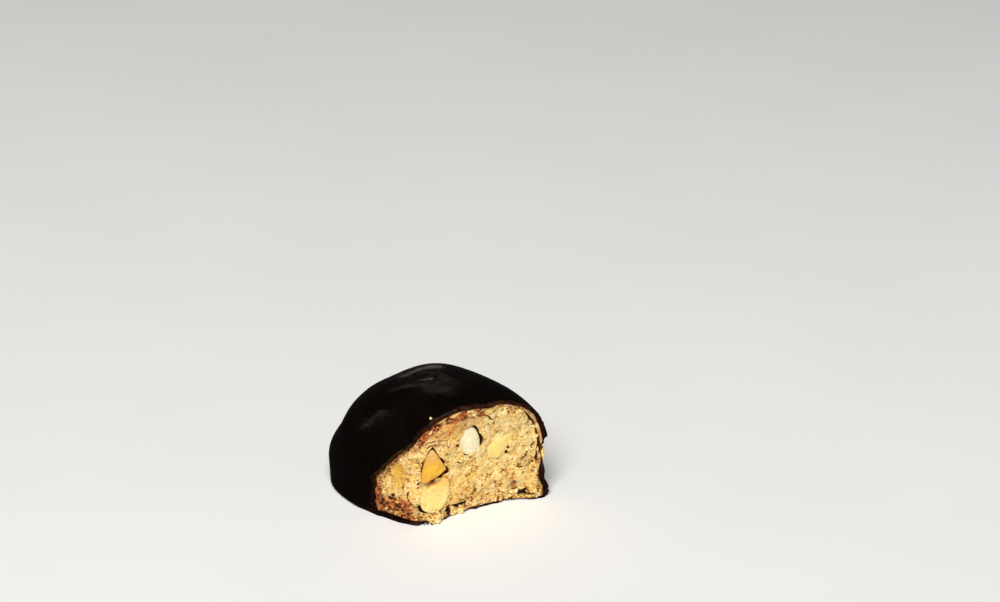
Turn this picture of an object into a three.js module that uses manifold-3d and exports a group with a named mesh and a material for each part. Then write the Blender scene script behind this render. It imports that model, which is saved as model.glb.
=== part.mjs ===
// Half of a chocolate-coated polvoron: a small loaf of crumbly almond shortbread in a
// thin coat of dark chocolate, broken across so that the crumb and the chopped almonds
// in it show. Millimetres, +Z up. The break is on the -Y side and the round end on the
// +Y side. The origin is the middle of the footprint, on the table.
import * as THREE from "three";
import { mergeVertices } from "three/addons/utils/BufferGeometryUtils.js";
import Module from "manifold-3d";

const wasm = await Module();
wasm.setup();

// ---- The whole bar, before it was broken, with its middle over x = y = 0 ----
const BAR_LENGTH = 51.2;
const BAR_WIDTH = 29.9;
const BAR_HEIGHT = 26.6;
const WIDEST_AT = 3.2; // height of the widest level: below it the sides turn under
const END_POWER = 2.84; // how square the ends are; 2 is an ellipse
const DOME_POWER = 3.1; // how square the section is above the widest level
const BASE_POWER = 7.5; // and below it
const WIDTH_FALL = 0.8; // how the width, the dome and the base draw in towards the ends:
const DOME_FALL = 2.0; // above 1 early and steadily
const BASE_FALL = 0.23; // near 0 only at the very tip
const PRESSED_FLAT = 0.3; // how deep the table flattened the base

// ---- The hand-dipped surface ----
const LUMP_HEIGHT = 0.3;
const LUMP_SPACING = 11;
const SWELLS = [
  { at: [-3.5, 16, 21.5], across: 9, height: 0.5 },
  { at: [-9, 20.5, 14.5], across: 4, height: -0.35 },
  { at: [-10.5, 22, 8.5], across: 6, height: 0.35 },
  { at: [-2, 3, 25.5], across: 5, height: -0.4 },
  { at: [14, -13, 14], across: 9, height: 0.45 },
  { at: [14.5, -14, 5.5], across: 4, height: -0.8 },
  { at: [14.5, -14, 2.2], across: 3, height: 0.35 },
  { at: [-0.6, 5.2, 26.2], across: 2.4, height: -0.4 },
  { at: [-1.6, 2.9, 26.2], across: 1.8, height: 0.14 },
]; // bulges of the dipped surface and, below 0, dents in it

// ---- The chocolate ----
const COAT_THICKNESS = 1.2;
const THINNER = 0.6; // how much thinner it is over the upper right, round this longitude
const THINNER_AT = THREE.MathUtils.degToRad(58);
const THINNER_REACH = THREE.MathUtils.degToRad(28);
const COAT_UNDERSIDE = 0.45;
const THICK_FOOT = 0.9; // how much thicker the underside is below the flank
const THICK_FOOT_AT = new THREE.Vector2(-13.5, 2.5);
const THICK_FOOT_REACH = 6;
const FOOT_SPREAD = 0.55; // how far the coat that ran down spreads along the table
const FOOT_HEIGHT = 1.2;
const RAGGED_EDGE = 0.14; // how unevenly it broke off, and how many teeth to a radian
const RAGGED_TEETH = 5;
const LIP = 0.12; // how far the coat at the foot of the break stands out of the crumb
const CLEARANCE = 0.3; // between pieces that touch

// ---- The break in plan: a long face and a short flank that meet at a rounded corner ----
const CORNER = new THREE.Vector2(-13, -2.3);
const FACE_HEADING = THREE.MathUtils.degToRad(-21.5); // corner to right-hand side
const FLANK_HEADING = THREE.MathUtils.degToRad(95.2); // corner to left-hand side
const CORNER_ROUNDING = 2.1;
const FACE_OVERHANG = 0.04; // how far the face comes forward for each millimetre up
const FACE_HOLLOW = 0.78; // how far it is hollowed, over this height each way:
const HOLLOW_AT = 9.8;
const FLANK_HOLLOW = 0.25; // how far the flank is hollowed, at this height and about as
const FLANK_HOLLOW_AT = 9; // far up and down as this
const FLANK_HOLLOW_REACH = 4;

// ---- The crumb that the break laid bare ----
const CRAG_HEIGHT = 0.42;
const CRAG_SPACING = 3.1;
const FLANK_CRAGS = 0.35; // share of that height on the flank
const CRUMBLED_AWAY = 1.5; // depth of the strip that fell off the foot of the face
const CRUMBLED_HEIGHT = 3.4;
const CRUMBLED_FROM = 4; // along the break, from the corner
const CRUMBLED_TO = 24;
const BREAK_MIDDLE = [9, 10]; // along the break and up: from where its facets are laid out

// ---- The chopped almonds: the outline of each where it shows, along and up the break ----
// A higher softness is a sharper edge between two cut sides.
const ALMONDS = [
  {
    name: "almond_upper",
    outline: [[10.3, 19.9], [12.4, 19.3], [13.8, 16.8], [13.8, 14.2], [11.9, 13.3], [10, 14.4], [9.1, 17]],
    depth: 4.2,
    softness: 7,
    colour: "#f6e6c6",
  },
  {
    name: "almond_sliver",
    outline: [[18.4, 16.3], [20.6, 16.8], [20.9, 15.2], [19.7, 12.9], [18.2, 11.3], [15.9, 11.9],
      [15.6, 13.9]],
    depth: 3.6,
    softness: 7,
    colour: "#f7d68a",
  },
  {
    name: "almond_wedge",
    outline: [[2.5, 15.9], [3.7, 16.4], [5.2, 14.1], [6.9, 11.2], [4.1, 10], [1.4, 8.6], [1.1, 11.2]],
    depth: 3.4,
    softness: 14,
    colour: "#f2bd4e",
  },
  {
    name: "almond_lower",
    outline: [[2.2, 8], [4.1, 8.8], [6.6, 8.6], [7.4, 6.8], [7, 4.5], [5.5, 2.9], [3.3, 2.5], [1, 3.8],
      [0.3, 5.9]],
    depth: 4.2,
    softness: 9,
    colour: "#f8d98c",
  },
  {
    name: "almond_flank",
    outline: [[-5.9, 12.4], [-4.4, 14], [-2.8, 13.4], [-2.5, 9.7], [-3.4, 7.6], [-5.8, 7.6]],
    depth: 2.4,
    softness: 6,
    colour: "#d9b25a",
  },
];
const ALMOND_PROUD = 0.5; // how far an almond stands out of the crumb round it
const FULLNESS = 0.35; // how much a soft outline is swelled, over its softness
const FRONT_POWER = 2.6; // how flat the side that shows is, and the side within

// ---- How finely the surfaces are faceted ----
const CAP_CELLS = 24; // squares across the broken face, so 4 times as many round its edge
const COAT_ROWS = 13;
const LINING_ROWS = 12;
const CRUMB_ROWS = 5;
const ALMOND_SECTORS = 18;
const ALMOND_RINGS = 9;
const HALVINGS = 34; // steps of the search for the edge of the break
const SEARCH_FROM = -1.35; // latitudes between which it looks
const SEARCH_TO = 1.45;

// A point on a superellipse: power 2 is a circle, and a higher power is squarer.
function superEllipse(angle, power) {
  const c = Math.cos(angle);
  const s = Math.sin(angle);
  const r = (Math.abs(c) ** power + Math.abs(s) ** power) ** (-1 / power);
  return [c * r, s * r];
}

// A repeatable scattered number from 0 to 1 for each corner of the noise lattice.
function latticeValue(i, j, k) {
  const n = Math.sin(i * 127.1 + j * 311.7 + k * 74.7) * 43758.5453;
  return n - Math.floor(n);
}

// Smooth noise from -1 to 1 whose bumps lie about one unit apart.
function noise(x, y, z) {
  const cell = [x, y, z].map(Math.floor);
  const [u, v, w] = [x, y, z].map((value, n) => {
    const f = value - cell[n];
    return f * f * (3 - 2 * f);
  });
  let sum = 0;
  for (let corner = 0; corner < 8; corner++) {
    const [i, j, k] = [corner & 1, (corner >> 1) & 1, (corner >> 2) & 1];
    const weight = (i ? u : 1 - u) * (j ? v : 1 - v) * (k ? w : 1 - w);
    sum += weight * latticeValue(cell[0] + i, cell[1] + j, cell[2] + k);
  }
  return 2 * sum - 1;
}

// The smooth loaf, drawn in by an inset: latitude runs from the lost end to the kept one,
// and longitude from the right-hand side (0) over the top and back underneath.
function loafPoint(latitude, longitude, inset) {
  const [reach, along] = superEllipse(latitude, END_POWER);
  const above = Math.sin(longitude) > 0;
  const [across, up] = superEllipse(longitude, above ? DOME_POWER : BASE_POWER);
  const drawnIn = Math.max(reach, 0);
  const rise = above
    ? (BAR_HEIGHT - inset - WIDEST_AT) * drawnIn ** DOME_FALL
    : WIDEST_AT * drawnIn ** BASE_FALL;
  return new THREE.Vector3(
    (BAR_WIDTH / 2 - inset) * drawnIn ** WIDTH_FALL * across,
    (BAR_LENGTH / 2 - inset) * along,
    WIDEST_AT + rise * up,
  );
}

// Outwards from the middle of the bar, square to an ellipsoid of its size.
function outwardAt(p) {
  return new THREE.Vector3(
    p.x / BAR_WIDTH ** 2,
    p.y / BAR_LENGTH ** 2,
    Math.max(p.z - WIDEST_AT, 0) / (2 * BAR_HEIGHT) ** 2,
  ).normalize();
}

// How far the dipped surface stands out of the smooth loaf. It is even at the base.
function unevenness(p) {
  const lumps = noise(p.x / LUMP_SPACING + 5.2, p.y / LUMP_SPACING + 1.7, p.z / LUMP_SPACING);
  const swells = SWELLS.map(({ at, across, height }) => {
    const distance = p.distanceTo(new THREE.Vector3(...at));
    return height * Math.exp(-2 * (distance / across) ** 2);
  });
  const total = swells.reduce((sum, swell) => sum + swell, LUMP_HEIGHT * lumps);
  return total * THREE.MathUtils.smoothstep(p.z, 0, WIDEST_AT);
}

// A point of the bar, drawn in by an inset, and no lower than the table.
function barPoint(latitude, longitude, inset) {
  const outside = loafPoint(latitude, longitude, 0);
  const p = loafPoint(latitude, longitude, inset);
  p.addScaledVector(outwardAt(outside), unevenness(outside));
  p.z = Math.max(p.z - PRESSED_FLAT, 0);
  return p;
}

// The outside of the coat, with the foot that spread where it ran down to the table.
function coatPoint(latitude, longitude) {
  const p = barPoint(latitude, longitude, 0);
  const outward = new THREE.Vector3(p.x, p.y / 2, 0).normalize();
  const patchy = 0.5 + 0.5 * noise(p.x / 5, p.y / 5, 3.3);
  const spread = FOOT_SPREAD * patchy * bell(p.z, FOOT_HEIGHT);
  const nearEdge = THREE.MathUtils.smoothstep(Math.abs(p.x) / (BAR_WIDTH / 2), 0.6, 0.95);
  return p.addScaledVector(outward, spread * nearEdge);
}

// A bell: 1 in the middle, and falling off with the square of the distance over its reach.
function bell(distance, reach) {
  return Math.exp(-((distance / reach) ** 2));
}

function coatThickness(longitude) {
  const turned = THREE.MathUtils.euclideanModulo(longitude - THINNER_AT + Math.PI, 2 * Math.PI);
  return COAT_THICKNESS - THINNER * bell(turned - Math.PI, THINNER_REACH);
}

// A point inside the coat, clear of it by a gap: the lining where the gap is 0.
function pointWithin(latitude, longitude, gap) {
  const p = barPoint(latitude, longitude, coatThickness(longitude) + gap);
  const away = THICK_FOOT_AT.distanceTo(new THREE.Vector2(p.x, p.y));
  const underside = COAT_UNDERSIDE + THICK_FOOT * bell(away, THICK_FOOT_REACH);
  p.z = Math.max(p.z, underside + gap);
  return p;
}

// ---- The surface of the break ----
const faceDirection = new THREE.Vector2(Math.cos(FACE_HEADING), Math.sin(FACE_HEADING));
const flankDirection = new THREE.Vector2(Math.cos(FLANK_HEADING), Math.sin(FLANK_HEADING));
const faceOutward = new THREE.Vector2(faceDirection.y, -faceDirection.x);
const flankOutward = new THREE.Vector2(-flankDirection.y, flankDirection.x);
const TURN = Math.sin(FLANK_HEADING - FACE_HEADING);

// How far the face and the flank are set back from their planes in the plan, by height.
function faceSetBack(z) {
  return -FACE_OVERHANG * z - FACE_HOLLOW * ((z - HOLLOW_AT) / HOLLOW_AT) ** 2;
}

function flankSetBack(z) {
  return FLANK_HOLLOW * bell(z - FLANK_HOLLOW_AT, FLANK_HOLLOW_REACH);
}

// How far the crumb stands out of the smooth break, by the distance along it and the height.
function crags(along, z) {
  const coarse = noise(along / CRAG_SPACING + 0.5, z / CRAG_SPACING + 7.7, 1.9);
  const fine = noise((2.3 * along) / CRAG_SPACING + 3.1, (2.3 * z) / CRAG_SPACING, 6.4);
  const step = THREE.MathUtils.smoothstep;
  const stretch =
    step(along, CRUMBLED_FROM, CRUMBLED_FROM + 5) * (1 - step(along, CRUMBLED_TO - 3, CRUMBLED_TO));
  const fallen = CRUMBLED_AWAY * stretch * bell(z, CRUMBLED_HEIGHT);
  const height = CRAG_HEIGHT * THREE.MathUtils.lerp(FLANK_CRAGS, 1, step(along, -5, 2));
  return height * (coarse + 0.5 * fine) - fallen;
}

// Distance of a point along the break from its corner, and out of its smooth surface.
function breakCoordinates(p) {
  const fromCorner = new THREE.Vector2(p.x, p.y).sub(CORNER);
  const face = fromCorner.dot(faceOutward) + faceSetBack(p.z);
  const flank = fromCorner.dot(flankOutward) + flankSetBack(p.z);
  const rounded = Math.hypot(face - flank, CORNER_ROUNDING);
  return { along: (face - flank) / TURN, outside: (face + flank + rounded) / 2 };
}

// The reverse: a point on the break, a hyperbola in plan that follows the face and the
// flank, moved out by the crags, and its outward direction.
function breakPoint(along, z, proud = crags(along, z)) {
  const bend = Math.asinh((along * TURN) / CORNER_ROUNDING);
  const face = (-CORNER_ROUNDING / 2) * Math.exp(-bend);
  const flank = (-CORNER_ROUNDING / 2) * Math.exp(bend);
  const outward = faceOutward
    .clone()
    .multiplyScalar(-flank)
    .addScaledVector(flankOutward, -face)
    .normalize();
  const plan = CORNER.clone()
    .addScaledVector(faceDirection, (flankSetBack(z) - flank) / TURN)
    .addScaledVector(flankDirection, (faceSetBack(z) - face) / TURN)
    .addScaledVector(outward, proud);
  return { at: new THREE.Vector3(plan.x, plan.y, z), outward };
}

// The latitude at which a line of longitude of a surface runs out through the break, or
// stands proud of it by a little, by halving.
function edgeLatitude(pointAt, longitude, proud = 0) {
  let lost = SEARCH_FROM;
  let kept = SEARCH_TO;
  for (let n = 0; n < HALVINGS; n++) {
    const middle = (lost + kept) / 2;
    const p = pointAt(middle, longitude);
    const { along, outside } = breakCoordinates(p);
    if (outside > crags(along, p.z) + proud) lost = middle;
    else kept = middle;
  }
  return kept;
}

// ---- Closed surfaces ----
function solidFrom(points, faces) {
  const geometry = new THREE.BufferGeometry().setFromPoints(points);
  geometry.setIndex(faces.flat());
  const merged = mergeVertices(geometry, 1e-4);
  return new wasm.Manifold(
    new wasm.Mesh({
      numProp: 3,
      vertProperties: merged.attributes.position.array,
      triVerts: new Uint32Array(merged.index.array),
    }),
  );
}

function geometryOf(solid) {
  const { vertProperties, triVerts } = solid.getMesh();
  const geometry = new THREE.BufferGeometry();
  geometry.setAttribute("position", new THREE.BufferAttribute(vertProperties, 3));
  geometry.setIndex(new THREE.BufferAttribute(triVerts, 1));
  return geometry;
}

// The outward faces between rings of points, each ring numbered on from the one before.
function bandFaces(firstPoint, rings, count) {
  const faces = [];
  for (let ring = 0; ring + 1 < rings; ring++)
    for (let n = 0; n < count; n++) {
      const a = firstPoint + ring * count + n;
      const b = firstPoint + ring * count + ((n + 1) % count);
      faces.push([a, a + count, b + count], [a, b + count, b]);
    }
  return faces;
}

// The outward faces from the last ring to the one point that closes it.
function tipFaces(lastRing, count, tip) {
  const faces = [];
  for (let n = 0; n < count; n++) faces.push([lastRing + n, tip, lastRing + ((n + 1) % count)]);
  return faces;
}

function facingInwards(faces) {
  return faces.map(([a, b, c]) => [a, c, b]);
}

// A corner of a cell of the square grid, carried to a disc so that the square's edge runs
// evenly round it.
function discPoint(column, row) {
  const a = (2 * column) / CAP_CELLS - 1;
  const b = (2 * row) / CAP_CELLS - 1;
  const radius = Math.max(Math.abs(a), Math.abs(b));
  if (radius === 0) return { radius, angle: 0 };
  const quarter = Math.PI / 4;
  if (Math.abs(a) < Math.abs(b)) return { radius, angle: Math.sign(b) * 2 * quarter - (quarter * a) / b };
  return { radius, angle: (quarter * b) / a + (a < 0 ? 4 * quarter : 0) };
}

// The corners round the edge of that grid, anticlockwise seen from the break, and the
// longitude of each.
const EDGE_CORNERS = [];
for (let n = 0; n < CAP_CELLS; n++) EDGE_CORNERS.push([CAP_CELLS, n]);
for (let n = 0; n < CAP_CELLS; n++) EDGE_CORNERS.push([CAP_CELLS - n, CAP_CELLS]);
for (let n = 0; n < CAP_CELLS; n++) EDGE_CORNERS.push([0, CAP_CELLS - n]);
for (let n = 0; n < CAP_CELLS; n++) EDGE_CORNERS.push([n, 0]);
const LONGITUDES = EDGE_CORNERS.map(([column, row]) => discPoint(column, row).angle);

// Rings of points from the edge of the break to just short of the tip of the round end.
function ringsToTip(rows, edges, pointAt) {
  const points = [];
  for (let row = 0; row < rows; row++)
    LONGITUDES.forEach((longitude, n) => {
      const latitude = THREE.MathUtils.lerp(edges[n], Math.PI / 2, row / rows);
      points.push(pointAt(latitude, longitude));
    });
  return points;
}

// ---- The coat: the outside of the bar, its lining, and the broken edge between them ----
function makeCoat() {
  const count = LONGITUDES.length;
  const lining = (latitude, longitude) => pointWithin(latitude, longitude, 0);
  const ragged = (longitude) => RAGGED_EDGE * noise(longitude * RAGGED_TEETH, 2.5, 8.5);
  const innerEdges = LONGITUDES.map((longitude) =>
    edgeLatitude(lining, longitude, ragged(longitude)),
  );
  const outerEdges = LONGITUDES.map((longitude, n) => {
    const atFoot = THREE.MathUtils.smoothstep(-Math.sin(longitude), 0.2, 0.6);
    const footEdge = edgeLatitude(coatPoint, longitude, LIP + ragged(longitude));
    return THREE.MathUtils.lerp(innerEdges[n], footEdge, atFoot);
  });
  const outside = ringsToTip(COAT_ROWS, outerEdges, coatPoint);
  const inside = ringsToTip(LINING_ROWS, innerEdges, lining);
  const points = [...outside, coatPoint(Math.PI / 2, 0), ...inside, lining(Math.PI / 2, 0)];
  const inner = outside.length + 1;
  const faces = [
    ...bandFaces(0, COAT_ROWS, count),
    ...tipFaces(outside.length - count, count, outside.length),
    ...facingInwards(bandFaces(inner, LINING_ROWS, count)),
    ...facingInwards(tipFaces(points.length - 1 - count, count, points.length - 1)),
  ];
  for (let n = 0; n < count; n++) {
    const next = (n + 1) % count;
    faces.push([n, next, inner + next], [n, inner + next, inner + n]);
  }
  return solidFrom(points, faces);
}

// ---- The crumb: sides just inside the coat, and the craggy face of the break ----
function makeCrumb() {
  const count = LONGITUDES.length;
  const side = (latitude, longitude) => pointWithin(latitude, longitude, CLEARANCE);
  const edges = LONGITUDES.map((longitude) => edgeLatitude(side, longitude));
  const points = [...ringsToTip(CRUMB_ROWS, edges, side), side(Math.PI / 2, 0)];
  const tip = points.length - 1;
  const faces = [
    ...bandFaces(0, CRUMB_ROWS, count),
    ...tipFaces(tip - count, count, tip),
  ];
  const numbers = new Map(EDGE_CORNERS.map(([column, row], n) => [`${column},${row}`, n]));
  for (let row = 1; row < CAP_CELLS; row++)
    for (let column = 1; column < CAP_CELLS; column++) {
      const { radius, angle } = discPoint(column, row);
      const edge = side(edgeLatitude(side, angle), angle);
      const along = THREE.MathUtils.lerp(BREAK_MIDDLE[0], breakCoordinates(edge).along, radius);
      const z = THREE.MathUtils.lerp(BREAK_MIDDLE[1], edge.z, radius);
      numbers.set(`${column},${row}`, points.length);
      points.push(breakPoint(along, z).at);
    }
  for (let row = 0; row < CAP_CELLS; row++)
    for (let column = 0; column < CAP_CELLS; column++) {
      const corners = [[0, 0], [1, 0], [1, 1], [0, 1]];
      const [a, b, c, d] = corners.map(([i, j]) => numbers.get(`${column + i},${row + j}`));
      faces.push([a, b, c], [a, c, d]);
    }
  return solidFrom(points, faces);
}

// ---- An almond piece: its outline, with a low swell in front and its depth behind ----
// The straight sides of the outline are the cut sides, softly joined.
function makeAlmond({ outline, depth, softness }, grow) {
  const bounds = new THREE.Box2().setFromPoints(outline.map((q) => new THREE.Vector2(...q)));
  const centre = bounds.getCenter(new THREE.Vector2());
  const { at: middle, outward } = breakPoint(centre.x, centre.y);
  const out = new THREE.Vector3(outward.x, outward.y, 0);
  const up = new THREE.Vector3(0, 0, 1);
  const side = new THREE.Vector3().crossVectors(up, out);
  const smoothMiddle = breakPoint(centre.x, centre.y, 0).at;
  const corners = outline.map(([along, z]) => {
    const offset = breakPoint(along, z, 0).at.sub(smoothMiddle);
    return new THREE.Vector2(offset.dot(side), offset.dot(up));
  });
  const nearness = (direction) => {
    const shares = corners.map((corner, n) => {
      const next = corners[(n + 1) % corners.length];
      const along = next.clone().sub(corner);
      return Math.max(direction.cross(along) / corner.cross(next), 0) ** softness;
    });
    return shares.reduce((sum, share) => sum + share, 0) ** (1 / softness);
  };
  const pointTowards = (around, breadth, height) => {
    const direction = new THREE.Vector2(Math.cos(around), Math.sin(around));
    const reach = ((1 + FULLNESS / softness) / nearness(direction) + grow) * breadth;
    return middle
      .clone()
      .addScaledVector(side, direction.x * reach)
      .addScaledVector(up, direction.y * reach)
      .addScaledVector(out, height * ((height > 0 ? ALMOND_PROUD : depth) + grow));
  };
  const points = [pointTowards(0, 0, 1)];
  for (let ring = 1; ring < ALMOND_RINGS; ring++) {
    const [height, breadth] = superEllipse((Math.PI * ring) / ALMOND_RINGS, FRONT_POWER);
    for (let sector = 0; sector < ALMOND_SECTORS; sector++)
      points.push(pointTowards((2 * Math.PI * sector) / ALMOND_SECTORS, breadth, height));
  }
  points.push(pointTowards(0, 0, -1));
  const faces = [
    ...facingInwards(tipFaces(1, ALMOND_SECTORS, 0)),
    ...bandFaces(1, ALMOND_RINGS - 1, ALMOND_SECTORS),
    ...tipFaces(points.length - 1 - ALMOND_SECTORS, ALMOND_SECTORS, points.length - 1),
  ];
  return solidFrom(points, faces);
}

// ---- The half bar ----
const halfBar = new THREE.Group();

function addPiece(name, solid, colour, roughness) {
  const material = new THREE.MeshStandardMaterial({ color: colour, roughness, metalness: 0 });
  const mesh = new THREE.Mesh(geometryOf(solid), material);
  mesh.name = name;
  halfBar.add(mesh);
}

const sockets = ALMONDS.map((almond) => makeAlmond(almond, CLEARANCE));
const crumb = sockets.reduce((solid, socket) => solid.subtract(socket), makeCrumb());
addPiece("coat", makeCoat(), "#1a0d08", 0.35);
addPiece("crumb", crumb, "#d9b27c", 0.95);
for (const almond of ALMONDS) addPiece(almond.name, makeAlmond(almond, 0), almond.colour, 0.6);

const footprint = new THREE.Box3().setFromObject(halfBar).getCenter(new THREE.Vector3());
halfBar.position.set(-footprint.x, -footprint.y, 0);

export default halfBar;
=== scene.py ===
"""Half of a chocolate-coated polvoron on a white table: a small loaf of crumbly almond
shortbread in a thin coat of dark chocolate, broken across.

The shape functions work in millimetres with the middle of the whole bar over x = y = 0, the
break towards -Y and the kept round end towards +Y. The meshes are stored in metres round the
middle of the half's footprint.
"""

from math import cos, pi, radians, sin

import bpy
import numpy as np
from mathutils import Matrix, Vector


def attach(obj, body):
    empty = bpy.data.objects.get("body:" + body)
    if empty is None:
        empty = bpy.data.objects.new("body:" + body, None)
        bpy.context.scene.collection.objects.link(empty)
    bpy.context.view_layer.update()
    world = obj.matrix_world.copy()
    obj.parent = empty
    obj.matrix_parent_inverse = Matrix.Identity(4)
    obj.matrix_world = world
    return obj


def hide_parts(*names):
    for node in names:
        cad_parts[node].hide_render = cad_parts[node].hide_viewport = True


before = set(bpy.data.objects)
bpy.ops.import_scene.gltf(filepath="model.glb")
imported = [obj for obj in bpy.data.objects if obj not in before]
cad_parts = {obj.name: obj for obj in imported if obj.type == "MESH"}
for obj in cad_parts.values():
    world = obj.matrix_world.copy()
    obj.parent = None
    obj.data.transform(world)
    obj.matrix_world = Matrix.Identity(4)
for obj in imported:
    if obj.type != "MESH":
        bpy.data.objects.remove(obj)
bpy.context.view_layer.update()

MM = 0.001
TURN = 2 * pi
SHIFT = np.array([-0.147, -5.828, 0.0])  # middle of the bar from the middle of the footprint

# ---- The whole bar, before it was broken ----
BAR_LENGTH = 51.2
BAR_WIDTH = 29.9
BAR_HEIGHT = 26.6
WIDEST_AT = 3.2  # height of the widest level
END_POWER = 2.84  # the powers of the superellipses: lengthwise, and across above and below it
DOME_POWER = 3.1
BASE_POWER = 7.5
WIDTH_FALL = 0.8  # how the width, dome and base fall towards the end, as powers of the reach
DOME_FALL = 2.0
BASE_FALL = 0.23
PRESSED_FLAT = 0.3  # off the bottom

# ---- The hand-dipped surface: where, how far across and how high each swell is ----
LUMP_HEIGHT = 0.3
LUMP_SPACING = 11.0
LUMP_OFFSET = np.array([5.2, 1.7, 0])
SWELLS = [
    ((-3.5, 16, 21.5), 9, 0.5), ((-9, 20.5, 14.5), 4, -0.35), ((-10.5, 22, 8.5), 6, 0.35),
    ((-2, 3, 25.5), 5, -0.4), ((14, -13, 14), 9, 0.45), ((14.5, -14, 5.5), 4, -0.8),
    ((14.5, -14, 2.2), 3, 0.35), ((-0.6, 5.2, 26.2), 2.4, -0.4), ((-1.6, 2.9, 26.2), 1.8, 0.14),
]

RIDGE_X = [-8.7, -5.5, -1.75, 3.3]  # the line of a low ridge over the top
RIDGE_Y = [7.0, 4.2, 3.0, 3.2]
RIDGE_HEIGHT = 0.16
RIDGE_REACH = 2.2

# Layers of noise here and below are each given by their spacing, their offset and their height.
COAT_WAVES = [(4.6, 2.2, 0.06), (1.7, 8.1, 0.018)]
STREAK_SPACING = (1.3, 6.0)  # across the bar and along it
STREAK_HEIGHT = 0.012

# ---- The chocolate ----
COAT_THICKNESS = 1.2
THINNER = 0.6  # how much thinner it is over the upper right, round this longitude
THINNER_AT = radians(58)
THINNER_REACH = radians(28)
COAT_UNDERSIDE = 0.45
THICK_FOOT = 0.9  # how much thicker the underside is below the flank
THICK_FOOT_AT = (-13.5, 2.5)
THICK_FOOT_REACH = 6.0
FOOT_SPREAD = 0.55
FOOT_HEIGHT = 1.2
RAGGED_EDGE = 0.14
RAGGED_TEETH = 5
CHIPPED_EDGE = [(0.9, 0, 0.13), (0.4, 3.1, 0.078)]  # smaller chips along the broken edge
OUTER_CHIPS = [(0.6, 7.7, 0.012)]  # along its outer edge, in radians of latitude
SNAPPED_EDGE = [(0.7, 5.5, 0.14), (0.33, 1.2, 0.09)]  # how rough it is across
UNEVEN_COAT = 0.22
CLEARANCE = 0.05  # between the coat and the crumb
BITE = 0.04  # a stretch bitten out of the broken edge on the right, in radians of latitude
BITE_FROM = 6.8
BITE_TO = 12.6
BITE_INSIDE, BITE_BEYOND = 0.8, 0.3  # how much of it the inside loses, and the outside besides
# How far the coat's foot stands out of the crumb, along the break from its corner.
LIP_ALONG = [-12, -1, 1.6, 2.6, 6.2, 6.8, 7.4, 8.4, 11.4, 12.4, 15, 18, 19.5, 21, 22, 24.5, 25.5, 30]
LIP_OUT = [0.1, 0.15, 0.1, -1, -1.1, -0.2, -0.9, -1, -0.9, 0, -0.1, 0, -0.6, -0.1, -0.7, -0.4, 0.1, 0.2]
LIP_CHIPS = 2.2  # how much rougher it is than the rest of the edge

# ---- The break in plan: a long face and a short flank that meet at a rounded corner ----
CORNER = np.array([-13.0, -2.3])
FACE_HEADING = radians(-21.5)
FLANK_HEADING = radians(95.2)
CORNER_ROUNDING = 2.1
FACE_OVERHANG = 0.04
FACE_HOLLOW = 0.78
HOLLOW_AT = 9.8
FLANK_HOLLOW = 0.25
FLANK_HOLLOW_AT = 9
FLANK_HOLLOW_REACH = 4

# ---- The crumb that the break laid bare ----
CRAG_HEIGHT = 0.42
CRAG_SPACING = 3.1
FLANK_CRAGS = 0.35
CRUMBLED_AWAY = 2.2  # the strip that fell off the foot: its depth, height and stretch
CRUMBLED_HEIGHT = 3.4
CRUMBLED_FROM = (4, 13)
CRUMBLED_TO = (19.5, 26)
BREAK_MIDDLE = (9, 10)  # of the grid over it, along and up
# Grains of crumb, the coarse ones first: how far apart, how high, how unlike in tone, and how wide
# the creases between them are, as a share of the spacing.
GRAINS = [(1.9, 0.16, 0.14, 0.06), (0.95, 0.12, 0.2, 0.11), (0.45, 0.08, 0.42, 0.2)]
CAP_REACH = 0.75  # how far a grain's rounded cap reaches, over the spacing
LOOSE_RISE = (0.6, 1.35)  # how high grains stand where the crumb is firm and where it is loose
CRUMB_WAVES = [(2.4, 1.3, 0.16), (1.1, 6.2, 0.1)]
CRUMB_GRIT = [(0.26, 2.9, 0.6), (0.5, 5.1, 0.4)]
GRIT_HEIGHT = 0.05
PITS = [(0.52, 7.9, 0.75), (0.9, 3.7, 0.55), (0.3, 9.2, 0.35)]  # open where their sum is high
PITS_FROM, PITS_TO, LOOSE_PITS = 0.72, 0.92, 0.42
CRACK_DEPTH = 0.28
PARTING_AT = 0.955  # the radius at which crumb parts from the coat on the right
PARTING_WIDTH = (0.008, 0.016)
PIT_DEPTH = 0.35
PIT_SHADE = 0.5  # how dark the painted shade in the pits is, against 1 in the cracks

# ---- How finely the surfaces are drawn ----
COAT_SECTORS = 420
COAT_ROWS = 170
LINING_ROWS = 22
RIM_ROWS = 10
CAP_CELLS = 300
CRUMB_ROWS = 5
ALMOND_SECTORS = 120
ALMOND_RINGS = 70
HALVINGS = 34
SEARCH_FROM, SEARCH_TO = -1.35, 1.45  # the latitudes between which the edge is sought
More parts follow.
